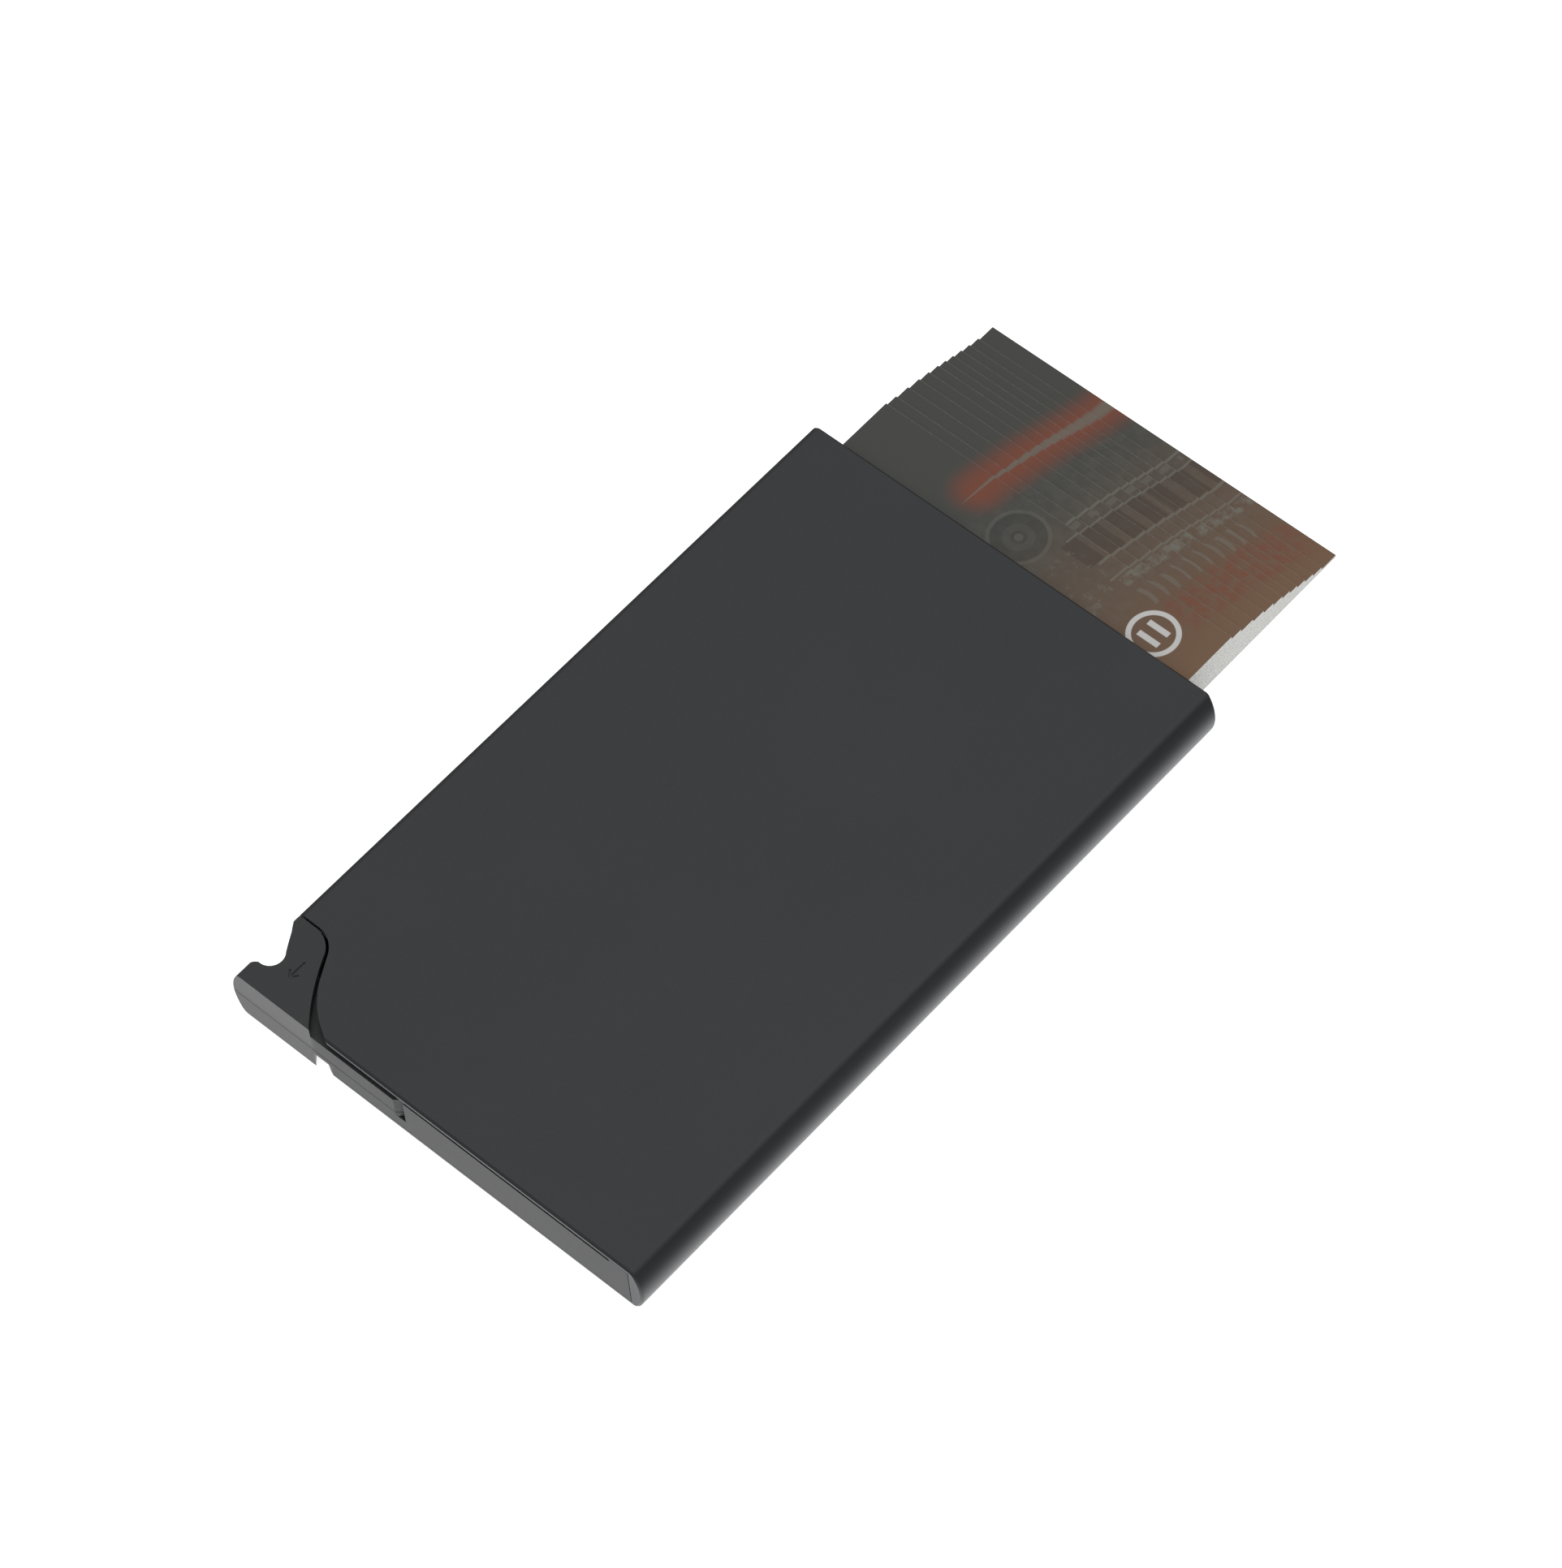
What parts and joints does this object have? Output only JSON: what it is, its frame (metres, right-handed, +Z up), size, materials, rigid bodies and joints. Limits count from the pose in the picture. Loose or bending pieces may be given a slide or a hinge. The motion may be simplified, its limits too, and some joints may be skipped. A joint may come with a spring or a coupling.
{
  "type": "card wallet",
  "caption": "Slim flat metal card wallet with rounded sides, a corner trigger with a finger notch, and a stepped arm inside that fans a stack of cards out of its open end.",
  "frame": {"origin": "centre of the sleeve's flat underside", "axes": "+X across the width, +Y along the length towards the mouth where the cards come out, +Z up out of the top face"},
  "size_m": [0.0635, 0.1292, 0.008],
  "materials": {
    "anodised_aluminium": "matt charcoal anodised",
    "moulded_black": "fine matt moulded",
    "steel_arm": "stamped",
    "steel_pin": "ground",
    "spring_steel": "drawn wire",
    "rail_polymer": "moulded",
    "grip_rubber": "soft",
    "felt": "pressed felt",
    "printed_card": "satin printed",
    "white_card": "satin"
  },
  "bodies": {
    "case": {"sleeve": "anodised_aluminium", "base_insert": "moulded_black", "pivot_pin": "steel_pin", "return_spring": "spring_steel", "side_rail_left": "rail_polymer", "side_rail_right": "rail_polymer", "grip_strip_left": "grip_rubber", "grip_strip_right": "grip_rubber", "liner_top": "felt", "liner_bottom": "felt", "arm_stop_pad": "grip_rubber"},
    "trigger": {"trigger": "moulded_black", "spring_cap": "moulded_black"},
    "ejector": {"ejector_arm": "steel_arm", "drive_spring": "spring_steel"},
    "card_01": {"card_01": "printed_card"},
    "card_02": {"card_02": "white_card"},
    "card_03": {"card_03": "white_card"},
    "card_04": {"card_04": "white_card"},
    "card_05": {"card_05": "white_card"},
    "card_06": {"card_06": "white_card"},
    "card_07": {"card_07": "white_card"},
    "card_08": {"card_08": "white_card"},
    "card_09": {"card_09": "white_card"},
    "card_10": {"card_10": "white_card"},
    "card_11": {"card_11": "white_card"},
    "card_12": {"card_12": "white_card"}
  },
  "joints": [
    {"name": "trigger_pull", "type": "hinge", "parent": "case", "child": "trigger", "pos_m": [-0.013, -0.0417, 0.004], "axis": [0, 0, 1], "range_deg": [0, 46], "stiffness_Nm_per_rad": 0.03, "springref_deg": -11.46, "deforming": ["return_spring"]},
    {"name": "card_fan", "type": "hinge", "parent": "case", "child": "ejector", "pos_m": [-0.013, -0.0417, 0.004], "axis": [0, 0, 1], "range_deg": [-46, 0], "deforming": ["drive_spring"]},
    {"name": "card_01_slide", "type": "slide", "parent": "case", "child": "card_01", "axis": [0, 1, 0], "range_m": [-0.009, 0]},
    {"name": "card_02_slide", "type": "slide", "parent": "case", "child": "card_02", "axis": [0, 1, 0], "range_m": [-0.0108, 0]},
    {"name": "card_03_slide", "type": "slide", "parent": "case", "child": "card_03", "axis": [0, 1, 0], "range_m": [-0.013, 0]},
    {"name": "card_04_slide", "type": "slide", "parent": "case", "child": "card_04", "axis": [0, 1, 0], "range_m": [-0.015, 0]},
    {"name": "card_05_slide", "type": "slide", "parent": "case", "child": "card_05", "axis": [0, 1, 0], "range_m": [-0.0168, 0]},
    {"name": "card_06_slide", "type": "slide", "parent": "case", "child": "card_06", "axis": [0, 1, 0], "range_m": [-0.0185, 0]},
    {"name": "card_07_slide", "type": "slide", "parent": "case", "child": "card_07", "axis": [0, 1, 0], "range_m": [-0.0199, 0]},
    {"name": "card_08_slide", "type": "slide", "parent": "case", "child": "card_08", "axis": [0, 1, 0], "range_m": [-0.0213, 0]},
    {"name": "card_09_slide", "type": "slide", "parent": "case", "child": "card_09", "axis": [0, 1, 0], "range_m": [-0.0228, 0]},
    {"name": "card_10_slide", "type": "slide", "parent": "case", "child": "card_10", "axis": [0, 1, 0], "range_m": [-0.0243, 0]},
    {"name": "card_11_slide", "type": "slide", "parent": "case", "child": "card_11", "axis": [0, 1, 0], "range_m": [-0.026, 0]},
    {"name": "card_12_slide", "type": "slide", "parent": "case", "child": "card_12", "axis": [0, 1, 0], "range_m": [-0.0287, 0]}
  ],
  "couplings": [
    {"joint": "card_01_slide", "follows": "card_fan", "m_per_rad": 0.01121},
    {"joint": "card_02_slide", "follows": "card_fan", "m_per_rad": 0.013452},
    {"joint": "card_03_slide", "follows": "card_fan", "m_per_rad": 0.016192},
    {"joint": "card_04_slide", "follows": "card_fan", "m_per_rad": 0.018683},
    {"joint": "card_05_slide", "follows": "card_fan", "m_per_rad": 0.020925},
    {"joint": "card_06_slide", "follows": "card_fan", "m_per_rad": 0.023043},
    {"joint": "card_07_slide", "follows": "card_fan", "m_per_rad": 0.024787},
    {"joint": "card_08_slide", "follows": "card_fan", "m_per_rad": 0.02653},
    {"joint": "card_09_slide", "follows": "card_fan", "m_per_rad": 0.028399},
    {"joint": "card_10_slide", "follows": "card_fan", "m_per_rad": 0.030267},
    {"joint": "card_11_slide", "follows": "card_fan", "m_per_rad": 0.032385},
    {"joint": "card_12_slide", "follows": "card_fan", "m_per_rad": 0.035748}
  ]
}
